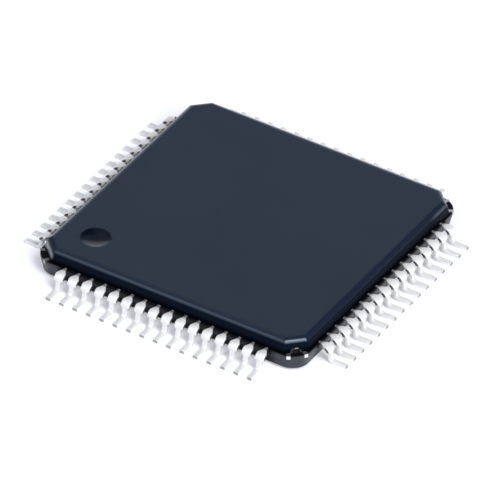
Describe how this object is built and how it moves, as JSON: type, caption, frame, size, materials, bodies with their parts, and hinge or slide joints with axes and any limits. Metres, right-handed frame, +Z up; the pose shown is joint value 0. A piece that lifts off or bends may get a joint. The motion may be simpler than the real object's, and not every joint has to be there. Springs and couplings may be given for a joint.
{
  "type": "quad flat pack chip",
  "caption": "Thin square moulded chip with gull-wing leads on all four sides and a pin 1 dimple, for soldering flat on a board.",
  "frame": {"origin": "centre of the footprint, on the plane that the lead feet stand on", "axes": "+Z up from the board; pins 1 to 16 are the row at -X, counted from +Y to -Y; pin 1 is in the corner at -X +Y, by the dimple; pins count anticlockwise seen from above"},
  "size_m": [0.012, 0.012, 0.0011],
  "materials": {
    "moulding_compound": "satin, fine moulded grain",
    "tin_plating": "matte tin plating over the lead frame alloy",
    "lead_frame_alloy": "bare rolled and etched sheet",
    "silicon": "polished",
    "die_attach_glue": "silver-filled epoxy",
    "gold": "bright drawn wire"
  },
  "bodies": {
    "root": {"package_body": "moulding_compound", "die_paddle": "lead_frame_alloy", "die_attach": "die_attach_glue", "silicon_die": "silicon", "leads_pins_1_to_16": "tin_plating", "leads_pins_17_to_32": "tin_plating", "leads_pins_33_to_48": "tin_plating", "leads_pins_49_to_64": "tin_plating", "bond_wires_pins_1_to_16": "gold", "bond_wires_pins_17_to_32": "gold", "bond_wires_pins_33_to_48": "gold", "bond_wires_pins_49_to_64": "gold"}
  },
  "joints": []
}
